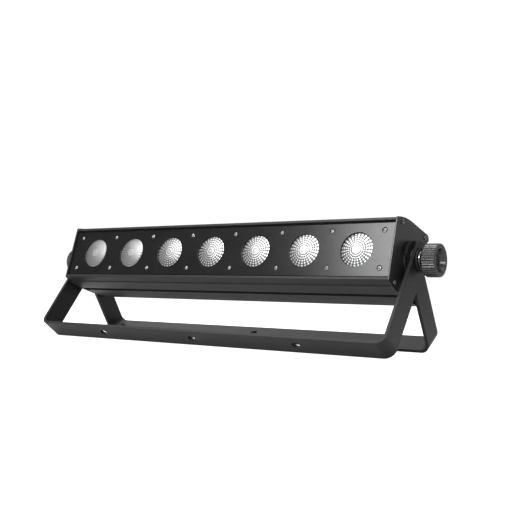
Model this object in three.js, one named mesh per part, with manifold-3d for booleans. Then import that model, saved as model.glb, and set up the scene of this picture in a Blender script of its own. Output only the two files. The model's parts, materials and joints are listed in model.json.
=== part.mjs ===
// LED strip batten: a black aluminium extrusion with seven lens windows, two flat end plates, and two
// nested U-shaped brackets that turn on one pivot axis and are clamped by a knob at each end.
// Millimetres. +X runs along the batten, +Z is up and the lenses look towards -Y.
// The origin is on the floor, under the middle of the whole object.
import * as THREE from "three";
import { mergeVertices } from "three/addons/utils/BufferGeometryUtils.js";
import Module from "manifold-3d";

const wasm = await Module();
wasm.setup();

// ---- driving dimensions ------------------------------------------------------------------------

const SIDES = { left: -1, right: 1 };
const GAP = 0.3; // between pieces that touch
const MELD = 0.5; // how far features of one piece run into each other
const PITCH = 72; // from lens to lens
const LENS_COUNT = 7;

// The housing's cross-section is measured from the pivot axis: "ahead" towards the lenses, "up" along
// the lens panel. The whole housing leans back by TILT, so the lenses look slightly upwards.
const TILT = THREE.MathUtils.degToRad(16.2);
const BODY_HALF_LENGTH = 262.3;
const BODY_AHEAD = 44.9;
const BODY_BEHIND = 43.2;
const BODY_HALF_HEIGHT = 44.6;
const WALL = 2.2;
const SHOULDER_START = 7; // ahead of here the top and bottom curve in towards the nose
const SHOULDER_RADIUS = 100;
const NOSE_ROUNDING = 0.4;
const REAR_CORNER_RADIUS = 5.5;
const REAR_RECESS = 3.7;
const REAR_RECESS_HALF_HEIGHT = 35;
const POCKET_HALF_HEIGHT = 34; // between the two front lips
const CHANNEL = { from: -0.5, to: 9.5, depth: 2.6 };
const SHOULDER_GROOVE = { from: 31.6, to: 37.4, depth: 1 };
const WEB = { from: 9.5, to: 12.5 }; // the heat-spreading wall behind the lamps
const FIN_WIDTH = 1.4;
const FIN_HEIGHT = 3.4;
const FIN_UPS = [3, 9, 15, 21, 27, 33];

const PANEL_FACE = 41.7;
const PANEL_THICKNESS = 2;
const PANEL_TOP = 31.9;
const PANEL_BOTTOM = -32.5;
const WINDOW_RADIUS = 21;
const LEDGE = { from: 37.4, to: 39.4, halfGap: 20.5 };
const PANEL_SCREW_ROWS = { top: 23.1, bottom: -22.7 };
const PANEL_SCREW_END_INSET = 2.9; // the outermost screws sit this much nearer the middle
const PANEL_SCREW = { head: 2.7, headHeight: 1.5, shank: 1.25, length: 6.5 };
const COUNTERBORE = { radius: 3.1, depth: 1.2 };

const LENS_FLANGE = { radius: 22.4, thickness: 1.6 };
const LENS_CONE_RADIUS = 19.6;
const LENS_COLLAR = { outer: 8, inner: 4.6, depth: 3.6 };
const BOARD = { back: 12.8, front: 14.4, halfLength: 250, halfHeight: 19 };
const EMITTER = { half: 2.6, height: 1.5, domeRadius: 2.1 };

const PLATE_THICKNESS = 2;
const PLATE_GROW = 0.7; // the end plates stand proud of the extrusion all round
const PLATE_SCREWS = [
  { name: "front_top", ahead: 31, up: 36.3 },
  { name: "front_bottom", ahead: 31, up: -36.3 },
  { name: "rear_top", ahead: -32.4, up: 39.4 },
  { name: "rear_bottom", ahead: -32.4, up: -39.4 },
];
const PLATE_SCREW = { head: 2.9, headHeight: 1.7, shank: 1.6, length: 12 };
const SCREW_PORT_RADIUS = 3.6;

const BAR_WIDTH = 30.5;
const BAR_THICKNESS = 4.1;
const BAR_END_RADIUS = 23; // the legs end in an arc about the pivot
const BEND_RADIUS = 13; // outside of the bend
const FRONT = { leg: 125.7, halfSpan: 277.2, lean: THREE.MathUtils.degToRad(36.55), holes: [-158, 0, 158] };
const REAR = { leg: 118.9, halfSpan: 271.1, holes: [0] };
const FOOT_HOLE_RADIUS = 5.8;

const BOLT_RADIUS = 4;
const BOLT_CLEARANCE = 0.35;
const BOLT_REACH = 12; // how far the pivot bolts end inside the housing
const PLATE_BOSS_RADIUS = 17;
const FIBRE_WASHER_RADIUS = 14.5;
const OUTER_WASHER = { radius: 14, thickness: 2.3 };
const STEEL_WASHER = { radius: 12, thickness: 1.9 };
const KNOB = { radius: 19.4, ribs: 24, ribDepth: 0.8, length: 15.5, boss: 10.5, bossLength: 4, end: 302 };
const KNOB_BOWL = { rim: 2.6, depth: 7, hub: 8.6, hubDrop: 2.2 };
const BOLT_HEAD = { acrossCorners: 7.4, height: 3.2 };

const CONTROL = { halfWidth: 46, halfHeight: 29, thickness: 2, overlap: 6 };
const DISPLAY = { up: 11, halfWidth: 19, halfHeight: 8 };
const BUTTON = { up: -13, pitch: 18, radius: 4, flange: 4.9, proud: 1.9 };
const BUTTON_NAMES = ["menu_button", "down_button", "up_button", "enter_button"];
const SOCKET = { halfWidth: 13, halfHeight: 15.5, plate: 2, shell: 11.4, depth: 21 };
const SOCKET_BORE = { radius: 8.2, depth: 14 };
const CONTACT = { radius: 1.1, length: 4, count: 3 };
const SOCKETS = [
  { name: "power_in_socket", x: 190, spread: 4.2 },
  { name: "power_out_socket", x: 138, spread: 4.2 },
  { name: "dmx_in_socket", x: -138, spread: 3.6 },
  { name: "dmx_out_socket", x: -190, spread: 3.6 },
];
const SUPPLY = { from: 80, to: 235, back: -13, halfHeight: 28 };
const DRIVER = { halfLength: 68, halfHeight: 30, back: -30, thickness: 1.6 };

// ---- worked out from them ----------------------------------------------------------------------

// The rear bracket leans until its foot reaches the same floor as the front one.
const PIVOT_HEIGHT = FRONT.leg * Math.cos(FRONT.lean) + (BAR_WIDTH / 2) * Math.sin(FRONT.lean);
const REAR_REACH = Math.hypot(REAR.leg, BAR_WIDTH / 2);
REAR.lean = Math.atan2(BAR_WIDTH / 2, REAR.leg) + Math.acos(PIVOT_HEIGHT / REAR_REACH);
const FRONT_TOE = FRONT.leg * Math.sin(FRONT.lean) + (BAR_WIDTH / 2) * Math.cos(FRONT.lean);
const REAR_TOE = REAR.leg * Math.sin(REAR.lean) + (BAR_WIDTH / 2) * Math.cos(REAR.lean);
const PIVOT_Y = (FRONT_TOE - REAR_TOE) / 2;

const PLATE_INNER = BODY_HALF_LENGTH + GAP;
const PLATE_OUTER = PLATE_INNER + PLATE_THICKNESS;
const RECESS_AT = BODY_BEHIND - REAR_RECESS; // behind the pivot
const SHOULDER_CENTRE = BODY_HALF_HEIGHT - SHOULDER_RADIUS;
const PANEL_BACK = PANEL_FACE - PANEL_THICKNESS;
const LENS_FACE = PANEL_BACK - GAP;

// The pivot stack, from the end plate outwards.
const STACK_BORE = BOLT_RADIUS + BOLT_CLEARANCE;
const REAR_LEG_INNER = REAR.halfSpan - BAR_THICKNESS;
const FRONT_LEG_INNER = FRONT.halfSpan - BAR_THICKNESS;
const OUTER_WASHER_AT = FRONT.halfSpan + GAP;
const STEEL_WASHER_AT = OUTER_WASHER_AT + OUTER_WASHER.thickness + GAP;
const KNOB_BACK = KNOB.end - KNOB.length;
const HUB_FACE = KNOB.end - KNOB_BOWL.hubDrop;

// ---- helpers -----------------------------------------------------------------------------------

const X_AXIS = new THREE.Vector3(1, 0, 0);
const Y_AXIS = new THREE.Vector3(0, 1, 0);
const Z_AXIS = new THREE.Vector3(0, 0, 1);

// A closed geometry as a manifold-3d solid.
function solid(geometry) {
  const bare = geometry.clone();
  bare.deleteAttribute("normal");
  bare.deleteAttribute("uv");
  const merged = mergeVertices(bare, 1e-4);
  return new wasm.Manifold(
    new wasm.Mesh({
      numProp: 3,
      vertProperties: merged.attributes.position.array,
      triVerts: new Uint32Array(merged.index.array),
    }),
  );
}

// A manifold-3d solid as a geometry with flat faces.
function geometryOf(made) {
  const mesh = made.getMesh();
  const geometry = new THREE.BufferGeometry();
  geometry.setAttribute("position", new THREE.BufferAttribute(mesh.vertProperties, mesh.numProp));
  geometry.setIndex(new THREE.BufferAttribute(mesh.triVerts, 1));
  const flat = geometry.toNonIndexed();
  flat.computeVertexNormals();
  return flat;
}

function union(solids) {
  return solids.reduce((sum, next) => sum.add(next));
}

function cut(body, tools) {
  return tools.reduce((rest, tool) => rest.subtract(tool), body);
}

function box(x0, x1, y0, y1, z0, z1) {
  const geometry = new THREE.BoxGeometry(x1 - x0, y1 - y0, z1 - z0);
  return solid(geometry.translate((x0 + x1) / 2, (y0 + y1) / 2, (z0 + z1) / 2));
}

// A round bar along one axis, from a to b on that axis, centred on (u, v) of the other two in X, Y, Z order.
function rod(axis, radius, a, b, u, v, segments = 24) {
  const geometry = new THREE.CylinderGeometry(radius, radius, b - a, segments).translate(0, (a + b) / 2, 0);
  if (axis === "x") geometry.rotateZ(-Math.PI / 2).translate(0, u, v);
  if (axis === "y") geometry.translate(u, 0, v);
  if (axis === "z") geometry.rotateX(Math.PI / 2).translate(u, v, 0);
  return solid(geometry);
}

// A body of revolution about the X or Y axis. The profile lists [distance along the axis, radius].
function turned(axis, profile, segments) {
  const points = profile.map(([along, radius]) => new THREE.Vector2(radius, along));
  const geometry = new THREE.LatheGeometry(points, segments);
  if (axis === "x") geometry.rotateZ(-Math.PI / 2);
  return solid(geometry);
}

// A closed outline in (y, z), pushed along X from x0 to x1.
function pushedAlongX(shape, x0, x1) {
  const settings = { depth: x1 - x0, bevelEnabled: false, curveSegments: 8 };
  const geometry = new THREE.ExtrudeGeometry(shape, settings);
  geometry.applyMatrix4(new THREE.Matrix4().makeBasis(Y_AXIS, Z_AXIS, X_AXIS));
  return solid(geometry.translate(x0, 0, 0));
}

// A closed outline in (x, z), pushed along Y from y0 to y1.
function pushedAlongY(shape, y0, y1, curveSegments = 8) {
  const settings = { depth: y1 - y0, bevelEnabled: false, curveSegments };
  const geometry = new THREE.ExtrudeGeometry(shape, settings);
  geometry.rotateX(Math.PI / 2);
  return solid(geometry.translate(0, y1, 0));
}

const materials = {};

function material(name, color, roughness, metalness) {
  materials[name] = { color, roughness, metalness };
}

function piece(group, name, look, made) {
  const mesh = new THREE.Mesh(geometryOf(made), new THREE.MeshStandardMaterial(materials[look]));
  mesh.name = name;
  group.add(mesh);
  return mesh;
}

material("extrusion", 0x1b1b1c, 0.5, 0.4);
material("panel", 0x202022, 0.32, 0.5);
material("paint", 0x1c1c1d, 0.55, 0.2);
material("lens", 0xf2f4f6, 0.08, 0);
material("screw", 0xc9c9c9, 0.3, 1);
material("steel", 0xbfc0c2, 0.3, 1);
material("plastic", 0x161616, 0.55, 0);
material("board", 0xe9e9e4, 0.5, 0);
material("green", 0x1d5a35, 0.5, 0);
material("can", 0xb0b2b4, 0.4, 0.9);
material("display", 0x07080a, 0.1, 0);
material("rubber", 0x2a2a2b, 0.7, 0);

// ---- housing -----------------------------------------------------------------------------------

const top = { sign: 1 };
const bottom = { sign: -1 };

// Half height of the outside at a place ahead of the pivot.
function shoulderHeight(ahead, inset = 0) {
  const run = Math.max(0, ahead - SHOULDER_START);
  return SHOULDER_CENTRE + Math.sqrt((SHOULDER_RADIUS - inset) ** 2 - run ** 2);
}

// Points [ahead, up] along the shoulder between two places, for one half of the section.
function shoulder(from, to, steps, half, inset = 0) {
  const points = [];
  for (let i = 0; i <= steps; i += 1) {
    const ahead = from + ((to - from) * i) / steps;
    points.push([ahead, half.sign * shoulderHeight(ahead, inset)]);
  }
  return points;
}

// The round corner lobe at the back, from the recess out to the flat top or bottom.
function rearCorner(half, grow) {
  const radius = REAR_CORNER_RADIUS + grow;
  const centreAhead = REAR_CORNER_RADIUS - BODY_BEHIND;
  const centreUp = BODY_HALF_HEIGHT - REAR_CORNER_RADIUS;
  const points = [[-RECESS_AT - grow, half.sign * REAR_RECESS_HALF_HEIGHT]];
  for (let i = 0; i <= 5; i += 1) {
    const angle = (Math.PI / 2) * (i / 5);
    const ahead = centreAhead - radius * Math.cos(angle);
    points.push([ahead, half.sign * (centreUp + radius * Math.sin(angle))]);
  }
  return points;
}

// The channel and the shallow groove that run along the top and the bottom.
function outerHalf(half) {
  const floor = half.sign * (BODY_HALF_HEIGHT - CHANNEL.depth);
  const flat = half.sign * BODY_HALF_HEIGHT;
  const groove = SHOULDER_GROOVE;
  return [
    ...rearCorner(half, 0),
    [CHANNEL.from, flat],
    [CHANNEL.from, floor],
    [CHANNEL.to, floor],
    [CHANNEL.to, half.sign * shoulderHeight(CHANNEL.to)],
    ...shoulder(14, groove.from, 5, half),
    ...shoulder(groove.from + 0.3, groove.to - 0.3, 2, half, groove.depth),
    ...shoulder(groove.to, BODY_AHEAD - NOSE_ROUNDING, 2, half),
    [BODY_AHEAD, half.sign * (shoulderHeight(BODY_AHEAD) - NOSE_ROUNDING)],
    [BODY_AHEAD, half.sign * (POCKET_HALF_HEIGHT + NOSE_ROUNDING)],
    [BODY_AHEAD - NOSE_ROUNDING, half.sign * POCKET_HALF_HEIGHT],
  ];
}

// The front chamber: the panel's pocket, the ledge that it is screwed to, and the space for the lenses.
function innerHalf(half) {
  const roof = BODY_HALF_HEIGHT - CHANNEL.depth - WALL;
  return [
    [LEDGE.to, half.sign * POCKET_HALF_HEIGHT],
    [LEDGE.to, half.sign * LEDGE.halfGap],
    [LEDGE.from, half.sign * LEDGE.halfGap],
    ...shoulder(LEDGE.from, 16, 5, half, WALL),
    [WEB.to, half.sign * roof],
  ];
}

function shapeOf(points) {
  return new THREE.Shape(points.map(([ahead, up]) => new THREE.Vector2(-ahead, up)));
}

function rearChamber() {
  const high = BODY_HALF_HEIGHT - WALL;
  const roof = high - CHANNEL.depth;
  const back = WALL - RECESS_AT;
  const channelSide = CHANNEL.from - WALL;
  const half = (sign) => [
    [back, sign * (high - 3)],
    [back + 3, sign * high],
    [channelSide, sign * high],
    [channelSide, sign * roof],
    [WEB.from, sign * roof],
  ];
  return [...half(1), ...half(-1).reverse()];
}

// Room for a flange on the recess floor, where the fins stop.
function flangeSeat(x, halfWidth, halfHeight) {
  const wide = halfWidth + 1;
  const high = halfHeight + 1;
  return box(x - wide, x + wide, RECESS_AT, BODY_BEHIND + 1, -high, high);
}

function socketOpening({ x }) {
  const bore = rod("y", SOCKET.shell + GAP, RECESS_AT - WALL - 1, RECESS_AT + 1, x, 0, 16);
  return bore.add(flangeSeat(x, SOCKET.halfWidth, SOCKET.halfHeight));
}

function controlOpening() {
  const wide = CONTROL.halfWidth - CONTROL.overlap;
  const high = CONTROL.halfHeight - CONTROL.overlap;
  const window = box(-wide, wide, RECESS_AT - WALL - 1, RECESS_AT + 1, -high, high);
  return window.add(flangeSeat(0, CONTROL.halfWidth, CONTROL.halfHeight));
}

function lensCentres() {
  return Array.from({ length: LENS_COUNT }, (_, i) => (i - (LENS_COUNT - 1) / 2) * PITCH);
}

function panelScrewPlaces() {
  const places = [];
  const farthest = (LENS_COUNT / 2) * PITCH - PANEL_SCREW_END_INSET;
  for (const [row, up] of Object.entries(PANEL_SCREW_ROWS)) {
    for (let i = 0; i <= LENS_COUNT; i += 1) {
      const x = THREE.MathUtils.clamp((i - LENS_COUNT / 2) * PITCH, -farthest, farthest);
      places.push({ name: `panel_screw_${row}_${i + 1}`, x, up });
    }
  }
  return places;
}

function fin(up) {
  const low = up - FIN_WIDTH / 2;
  const high = up + FIN_WIDTH / 2;
  return box(-BODY_HALF_LENGTH, BODY_HALF_LENGTH, RECESS_AT - MELD, RECESS_AT + FIN_HEIGHT, low, high);
}

function housingExtrusion() {
  const half = (side) => [...outerHalf(side), ...innerHalf(side)];
  const outline = shapeOf([...half(top), ...half(bottom).reverse()]);
  const body = pushedAlongX(outline, -BODY_HALF_LENGTH, BODY_HALF_LENGTH);
  const chamber = pushedAlongX(shapeOf(rearChamber()), -BODY_HALF_LENGTH - 1, BODY_HALF_LENGTH + 1);
  const ports = PLATE_SCREWS.map(({ ahead, up }) =>
    rod("x", SCREW_PORT_RADIUS, -BODY_HALF_LENGTH, BODY_HALF_LENGTH, -ahead, up, 12),
  );
  const fins = FIN_UPS.flatMap((up) => [up, -up]).map(fin);
  const portBores = PLATE_SCREWS.map(({ ahead, up }) =>
    rod("x", PLATE_SCREW.shank + GAP, -BODY_HALF_LENGTH - 1, BODY_HALF_LENGTH + 1, -ahead, up, 8),
  );
  const lensBores = lensCentres().map((x) =>
    rod("y", LENS_FLANGE.radius + GAP, -LEDGE.to - 1, -LEDGE.from + 1, x, 0, 20),
  );
  const screwBores = panelScrewPlaces().map(({ x, up }) =>
    rod("y", PANEL_SCREW.shank + GAP, -LEDGE.to - 1, -LEDGE.from + 1, x, up, 6),
  );
  const tools = [...portBores, ...lensBores, ...screwBores, controlOpening(), ...SOCKETS.map(socketOpening)];
  return cut(union([body.subtract(chamber), ...ports, ...fins]), tools);
}

function frontPanel() {
  const half = BODY_HALF_LENGTH - 1;
  const outline = new THREE.Shape();
  outline.moveTo(-half, PANEL_BOTTOM);
  outline.lineTo(half, PANEL_BOTTOM);
  outline.lineTo(half, PANEL_TOP);
  outline.lineTo(-half, PANEL_TOP);
  outline.closePath();
  for (const x of lensCentres()) {
    const window = new THREE.Path();
    window.absarc(x, 0, WINDOW_RADIUS, 0, Math.PI * 2, true);
    outline.holes.push(window);
  }
  const sheet = pushedAlongY(outline, -PANEL_FACE, -PANEL_BACK, 12);
  const bores = panelScrewPlaces().flatMap(({ x, up }) => [
    rod("y", COUNTERBORE.radius, -PANEL_FACE - 1, -PANEL_FACE + COUNTERBORE.depth, x, up, 10),
    rod("y", PANEL_SCREW.shank + GAP, -PANEL_FACE, -PANEL_BACK + 1, x, up, 6),
  ]);
  return cut(sheet, bores);
}

// A cross-head machine screw along the axis, its head's underside at 0 and its shank towards positive.
function crossScrew({ head, headHeight, shank, length }) {
  const profile = [
    [-headHeight, 0],
    [-headHeight, head * 0.6],
    [-headHeight * 0.4, head],
    [0, head],
    [0, shank],
    [length, shank],
    [length, 0],
  ];
  const body = turned("y", profile, 8);
  const arm = head * 0.62;
  const slot = head * 0.15;
  const floor = -headHeight + 0.8;
  const recess = box(-arm, arm, -headHeight - 1, floor, -slot, slot);
  return body.subtract(recess.add(box(-slot, slot, -headHeight - 1, floor, -arm, arm)));
}

// Lens: a flat front flange, a cone that narrows to the lamp, and a collar that stands over the board.
function lens() {
  const front = -LENS_FACE;
  const flangeBack = front + LENS_FLANGE.thickness;
  const foot = -BOARD.front - GAP;
  const profile = [
    [front, 0],
    [front, LENS_FLANGE.radius],
    [flangeBack, LENS_FLANGE.radius],
    [flangeBack, LENS_CONE_RADIUS],
    [flangeBack + 10, LENS_CONE_RADIUS * 0.78],
    [foot - LENS_COLLAR.depth, LENS_COLLAR.outer],
    [foot, LENS_COLLAR.outer],
    [foot, LENS_COLLAR.inner],
    [foot - LENS_COLLAR.depth, LENS_COLLAR.inner],
    [foot - LENS_COLLAR.depth - 1, 0],
  ];
  return turned("y", profile, 20);
}

// The long metal-core board, with one lamp in the middle of each lens collar.
function ledBoard() {
  const { halfLength, halfHeight, front, back } = BOARD;
  const board = box(-halfLength, halfLength, -front, -back, -halfHeight, halfHeight);
  const { half, height, domeRadius } = EMITTER;
  const seat = -front - height;
  const pad = box(-half, half, seat, -front + MELD, -half, half);
  const dome = turned("y", [
    [seat - domeRadius * 0.65, 0],
    [seat - domeRadius * 0.5, domeRadius * 0.7],
    [seat + MELD, domeRadius],
    [-front, 0],
  ], 10);
  const lamps = lensCentres().map((x) => pad.add(dome).translate([x, 0, 0]));
  return union([board, ...lamps]);
}

// End plate: the extrusion's outline, a little larger, with a straight front edge and a raised pivot boss.
function endPlate(side) {
  const half = (face) => [
    ...rearCorner(face, PLATE_GROW),
    ...shoulder(SHOULDER_START, BODY_AHEAD - 1, 9, face, -PLATE_GROW),
    [BODY_AHEAD, face.sign * shoulderHeight(BODY_AHEAD)],
  ];
  const outline = shapeOf([...half(top), ...half(bottom).reverse()]);
  const sheet = pushedAlongX(outline, PLATE_INNER, PLATE_OUTER);
  const bores = PLATE_SCREWS.map(({ ahead, up }) =>
    rod("x", PLATE_SCREW.shank + GAP, PLATE_INNER - 1, PLATE_OUTER + 1, -ahead, up, 8),
  );
  bores.push(rod("x", STACK_BORE, PLATE_INNER - 1, REAR_LEG_INNER, 0, 0, 16));
  const boss = rod("x", PLATE_BOSS_RADIUS, PLATE_OUTER - MELD, REAR_LEG_INNER - GAP, 0, 0, 24);
  return facing(side, cut(sheet.add(boss), bores));
}

// What is made for the right-hand end, mirrored for the left-hand end.
function facing(side, made) {
  return side > 0 ? made : made.mirror([1, 0, 0]);
}

// ---- controls and sockets on the back ----------------------------------------------------------

function buttonPlaces() {
  return BUTTON_NAMES.map((name, i) => ({ name, x: ((BUTTON_NAMES.length - 1) / 2 - i) * BUTTON.pitch }));
}

function controlPlate() {
  const inner = RECESS_AT + GAP;
  const outer = inner + CONTROL.thickness;
  const { halfWidth, halfHeight } = CONTROL;
  const sheet = box(-halfWidth, halfWidth, inner, outer, -halfHeight, halfHeight);
  const window = box(
    -DISPLAY.halfWidth - GAP,
    DISPLAY.halfWidth + GAP,
    inner - 1,
    outer + 1,
    DISPLAY.up - DISPLAY.halfHeight - GAP,
    DISPLAY.up + DISPLAY.halfHeight + GAP,
  );
  const holes = buttonPlaces().map(({ x }) =>
    rod("y", BUTTON.radius + GAP, inner - 1, outer + 1, x, BUTTON.up, 14),
  );
  return cut(sheet, [window, ...holes]);
}

function displayWindow() {
  const inner = RECESS_AT + GAP;
  const { up, halfWidth, halfHeight } = DISPLAY;
  const outer = inner + CONTROL.thickness - GAP;
  return box(-halfWidth, halfWidth, inner, outer, up - halfHeight, up + halfHeight);
}

// Push button: a round cap through the control plate, held in by a flange behind it.
function pushButton({ x }) {
  const plateBack = RECESS_AT + GAP;
  const tip = plateBack + CONTROL.thickness + BUTTON.proud;
  const profile = [
    [plateBack - 2.6, 0],
    [plateBack - 2.6, 2],
    [plateBack - 1.2, 2],
    [plateBack - 1.2, BUTTON.flange],
    [plateBack - GAP, BUTTON.flange],
    [plateBack - GAP, BUTTON.radius],
    [tip - 0.6, BUTTON.radius],
    [tip, BUTTON.radius - 0.6],
    [tip, 0],
  ];
  return turned("y", profile, 14).translate([x, 0, BUTTON.up]);
}

// Panel socket: a flange on the recess floor, a round shell through the wall, and pins at the bore's end.
function panelSocket({ x, spread }) {
  const seat = RECESS_AT + GAP;
  const face = seat + SOCKET.plate;
  const { halfWidth, halfHeight } = SOCKET;
  const flange = box(-halfWidth, halfWidth, seat, face, -halfHeight, halfHeight);
  const shell = rod("y", SOCKET.shell, face - SOCKET.depth, face - MELD, 0, 0, 16);
  const boreEnd = face - SOCKET_BORE.depth;
  const bore = rod("y", SOCKET_BORE.radius, boreEnd, face + 1, 0, 0, 16);
  const pin = rod("y", CONTACT.radius, boreEnd - MELD, boreEnd + CONTACT.length, 0, 0, 6);
  const contacts = Array.from({ length: CONTACT.count }, (_, i) => {
    const angle = Math.PI / 2 + (i * 2 * Math.PI) / CONTACT.count;
    return pin.translate([spread * Math.cos(angle), 0, spread * Math.sin(angle)]);
  });
  return union([flange.add(shell).subtract(bore), ...contacts]).translate([x, 0, 0]);
}

// ---- electronics in the rear chamber -----------------------------------------------------------

function powerSupply() {
  const { from, to, back, halfHeight } = SUPPLY;
  const front = WEB.from - GAP;
  const can = box(from, to, -front, -back, -halfHeight, halfHeight);
  const vents = Array.from({ length: 8 }, (_, i) => {
    const x = from + 40 + i * 10;
    return box(x, x + 3, -back - 1.2, -back + 1, -halfHeight + 10, halfHeight - 10);
  });
  return cut(can, vents);
}

function driverBoard() {
  const { halfLength, halfHeight, back, thickness } = DRIVER;
  const face = -back;
  const sheet = box(-halfLength, halfLength, face - thickness, face, -halfHeight, halfHeight);
  const switches = buttonPlaces().map(({ x }) => rod("y", 3, face - MELD, face + 4.5, x, BUTTON.up, 12));
  const { up, halfWidth } = DISPLAY;
  const low = up - DISPLAY.halfHeight;
  const screen = box(-halfWidth, halfWidth, face - MELD, face + 6, low, up + DISPLAY.halfHeight);
  const chips = [-52, -34, 34, 52].map((place) => box(place - 6, place + 6, face - 6, face - MELD, -9, 9));
  return union([sheet, screen, ...switches, ...chips]);
}

// ---- brackets ----------------------------------------------------------------------------------

// U outline in (x, z): straight legs down from above the pivot, round bends and a flat base.
function bracketOutline({ leg, halfSpan }) {
  const crown = BAR_END_RADIUS + 1;
  const inner = { x: halfSpan - BAR_THICKNESS, z: -leg + BAR_THICKNESS, r: BEND_RADIUS - BAR_THICKNESS };
  const shape = new THREE.Shape();
  shape.moveTo(-halfSpan, crown);
  shape.lineTo(-halfSpan, -leg + BEND_RADIUS);
  shape.absarc(-halfSpan + BEND_RADIUS, -leg + BEND_RADIUS, BEND_RADIUS, Math.PI, Math.PI * 1.5, false);
  shape.absarc(halfSpan - BEND_RADIUS, -leg + BEND_RADIUS, BEND_RADIUS, Math.PI * 1.5, Math.PI * 2, false);
  shape.lineTo(halfSpan, crown);
  shape.lineTo(inner.x, crown);
  shape.absarc(inner.x - inner.r, inner.z + inner.r, inner.r, Math.PI * 2, Math.PI * 1.5, true);
  shape.absarc(-inner.x + inner.r, inner.z + inner.r, inner.r, Math.PI * 1.5, Math.PI, true);
  shape.lineTo(-inner.x, crown);
  shape.closePath();
  return shape;
}

// Side view of a leg in (y, z): the bar's width, ending above the pivot in an arc about it.
function legSideView(leg) {
  const halfAngle = Math.asin(BAR_WIDTH / 2 / BAR_END_RADIUS);
  const shape = new THREE.Shape();
  shape.moveTo(-BAR_WIDTH / 2, -leg - 1);
  shape.lineTo(BAR_WIDTH / 2, -leg - 1);
  shape.absarc(0, 0, BAR_END_RADIUS, Math.PI / 2 - halfAngle, Math.PI / 2 + halfAngle, false);
  shape.closePath();
  return shape;
}

function bracket({ leg, halfSpan, holes }) {
  const bar = pushedAlongY(bracketOutline({ leg, halfSpan }), -BAR_WIDTH / 2, BAR_WIDTH / 2, 7);
  const sideView = pushedAlongX(legSideView(leg), -halfSpan - 1, halfSpan + 1);
  const pivotBore = rod("x", STACK_BORE, -halfSpan - 1, halfSpan + 1, 0, 0, 16);
  const footHoles = holes.map((x) =>
    rod("z", FOOT_HOLE_RADIUS, -leg - 1, -leg + BAR_THICKNESS + 1, x, 0, 16),
  );
  return cut(bar.intersect(sideView), [pivotBore, ...footHoles]);
}

// ---- pivot stack, from the end plate outwards --------------------------------------------------

function ring(inner, outer, from, to, segments) {
  const profile = [
    [from, inner],
    [to, inner],
    [to, outer],
    [from, outer],
    [from, inner],
  ];
  return turned("x", profile.reverse(), segments);
}

function fibreWasher() {
  return ring(STACK_BORE, FIBRE_WASHER_RADIUS, REAR.halfSpan + GAP, FRONT_LEG_INNER - GAP, 16);
}

function outerWasher() {
  return ring(STACK_BORE, OUTER_WASHER.radius, OUTER_WASHER_AT, OUTER_WASHER_AT + OUTER_WASHER.thickness, 16);
}

function steelWasher() {
  return ring(STACK_BORE, STEEL_WASHER.radius, STEEL_WASHER_AT, STEEL_WASHER_AT + STEEL_WASHER.thickness, 16);
}

// Knob: a ribbed grip with a bowl in its end face, a hub in the bowl and a boss towards the washers.
function knob() {
  const outline = new THREE.Shape();
  for (let i = 0; i < KNOB.ribs * 2; i += 1) {
    const angle = (i / (KNOB.ribs * 2)) * Math.PI * 2;
    const radius = KNOB.radius - (i % 2 ? KNOB.ribDepth : 0);
    const point = [radius * Math.cos(angle), radius * Math.sin(angle)];
    if (i === 0) outline.moveTo(...point);
    else outline.lineTo(...point);
  }
  outline.closePath();
  const grip = pushedAlongX(outline, KNOB_BACK, KNOB.end);
  const envelope = turned("x", [
    [KNOB.end, 0],
    [KNOB.end, KNOB.radius - 1.2],
    [KNOB.end - 1.2, KNOB.radius + 0.1],
    [KNOB_BACK, KNOB.radius + 0.1],
    [KNOB_BACK, 0],
  ].reverse(), 24);
  const bowl = ring(KNOB_BOWL.hub, KNOB.radius - KNOB_BOWL.rim, KNOB.end - KNOB_BOWL.depth, KNOB.end + 1, 20);
  const hubCut = rod("x", KNOB_BOWL.hub + 0.5, HUB_FACE, KNOB.end + 1, 0, 0, 16);
  const bossFrom = KNOB_BACK - KNOB.bossLength;
  const boss = rod("x", KNOB.boss, bossFrom, KNOB_BACK + MELD, 0, 0, 16);
  const bore = rod("x", STACK_BORE, bossFrom - 1, KNOB.end, 0, 0, 12);
  const headSeat = rod("x", BOLT_HEAD.acrossCorners + GAP, HUB_FACE - 2, KNOB.end + 1, 0, 0, 12);
  return cut(grip.intersect(envelope).add(boss), [bowl, hubCut, bore, headSeat]);
}

// Pivot bolt: its hexagon head sits in the knob's hub and its end is inside the housing.
function pivotBolt() {
  const seat = HUB_FACE - 2 + GAP;
  const head = rod("x", BOLT_HEAD.acrossCorners, seat, seat + BOLT_HEAD.height, 0, 0, 6);
  const shank = rod("x", BOLT_RADIUS, PLATE_INNER - BOLT_REACH, seat + MELD, 0, 0, 12);
  return head.add(shank);
}

// ---- assembly ----------------------------------------------------------------------------------

const batten = new THREE.Group();
const pivot = new THREE.Group();
pivot.position.set(0, PIVOT_Y, PIVOT_HEIGHT);
batten.add(pivot);

const housing = new THREE.Group();
housing.rotation.x = -TILT;
pivot.add(housing);

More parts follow.
